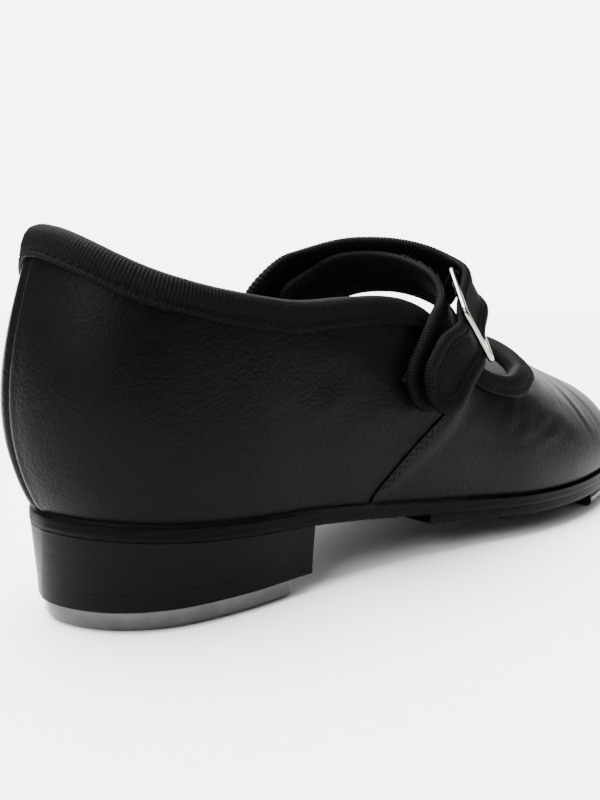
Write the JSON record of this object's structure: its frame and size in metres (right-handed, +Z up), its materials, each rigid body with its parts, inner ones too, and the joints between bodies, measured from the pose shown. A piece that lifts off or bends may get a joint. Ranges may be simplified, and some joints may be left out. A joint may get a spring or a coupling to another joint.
{
  "type": "tap shoe",
  "caption": "Low-heeled black bar-strap tap shoe with metal heel and toe taps, grosgrain binding and a hook-and-loop strap through a wire ring.",
  "frame": {"origin": "middle of the heel tap's walking face, on the floor", "axes": "+X towards the toe, +Y towards the inner side of the foot, +Z up"},
  "size_m": [0.2505, 0.0823, 0.0906],
  "materials": {
    "upper_leather": "fine-grained black leather, satin",
    "grosgrain": "ribbed black grosgrain tape",
    "hook_tape": "black hook-and-loop pile",
    "lining": "light grey lining cloth",
    "stiffener": "pressed fibre board",
    "sole_leather": "black edge-inked sole leather",
    "rubber": "matte black rubber",
    "heel_stack": "black lacquered stacked heel",
    "cork": "granulated cork",
    "tap_alloy": "satin tumbled alloy",
    "nickel": "polished nickel wire",
    "steel": "plain steel"
  },
  "bodies": {
    "root": {"quarter_lateral": "upper_leather", "quarter_medial": "upper_leather", "vamp": "upper_leather", "topline_binding": "grosgrain", "strap_anchor": "grosgrain", "quarter_loop_patch": "hook_tape", "quarter_lining": "lining", "vamp_lining": "lining", "sock_liner": "lining", "heel_counter": "stiffener", "toe_puff": "stiffener", "insole_board": "stiffener", "outsole": "sole_leather", "half_sole": "sole_leather", "heel_top_piece": "rubber", "rubber_pad": "rubber", "toe_tap_board": "rubber", "heel_block": "heel_stack", "bottom_filler": "cork", "heel_tap": "tap_alloy", "toe_tap": "tap_alloy", "shank": "steel", "heel_fixing_screw": "steel", "heel_tap_screw_1": "steel", "heel_tap_screw_2": "steel", "heel_tap_screw_3": "steel", "toe_tap_screw_1": "steel", "toe_tap_screw_2": "steel", "toe_tap_screw_3": "steel"},
    "strap": {"under_strap": "grosgrain", "over_strap": "grosgrain", "ring_keeper": "grosgrain", "strap_end_hook_patch": "hook_tape"},
    "ring": {"buckle_ring": "nickel"},
    "tip": {"strap_tip": "grosgrain", "tip_hook_patch": "hook_tape"}
  },
  "joints": [
    {"name": "strap_swing", "type": "hinge", "parent": "root", "child": "strap", "pos_m": [0.056, 0.018, 0.0726], "axis": [-1, 0, 0], "range_deg": [0, 90]},
    {"name": "ring_lift", "type": "hinge", "parent": "strap", "child": "ring", "pos_m": [0.091, -0.0257, 0.0736], "axis": [-0.7217, -0.0301, 0.6916], "range_deg": [0, 12]},
    {"name": "tip_peel", "type": "hinge", "parent": "strap", "child": "tip", "pos_m": [0.0794, -0.0392, 0.0611], "axis": [-0.7217, -0.0301, 0.6916], "range_deg": [0, 75]}
  ]
}
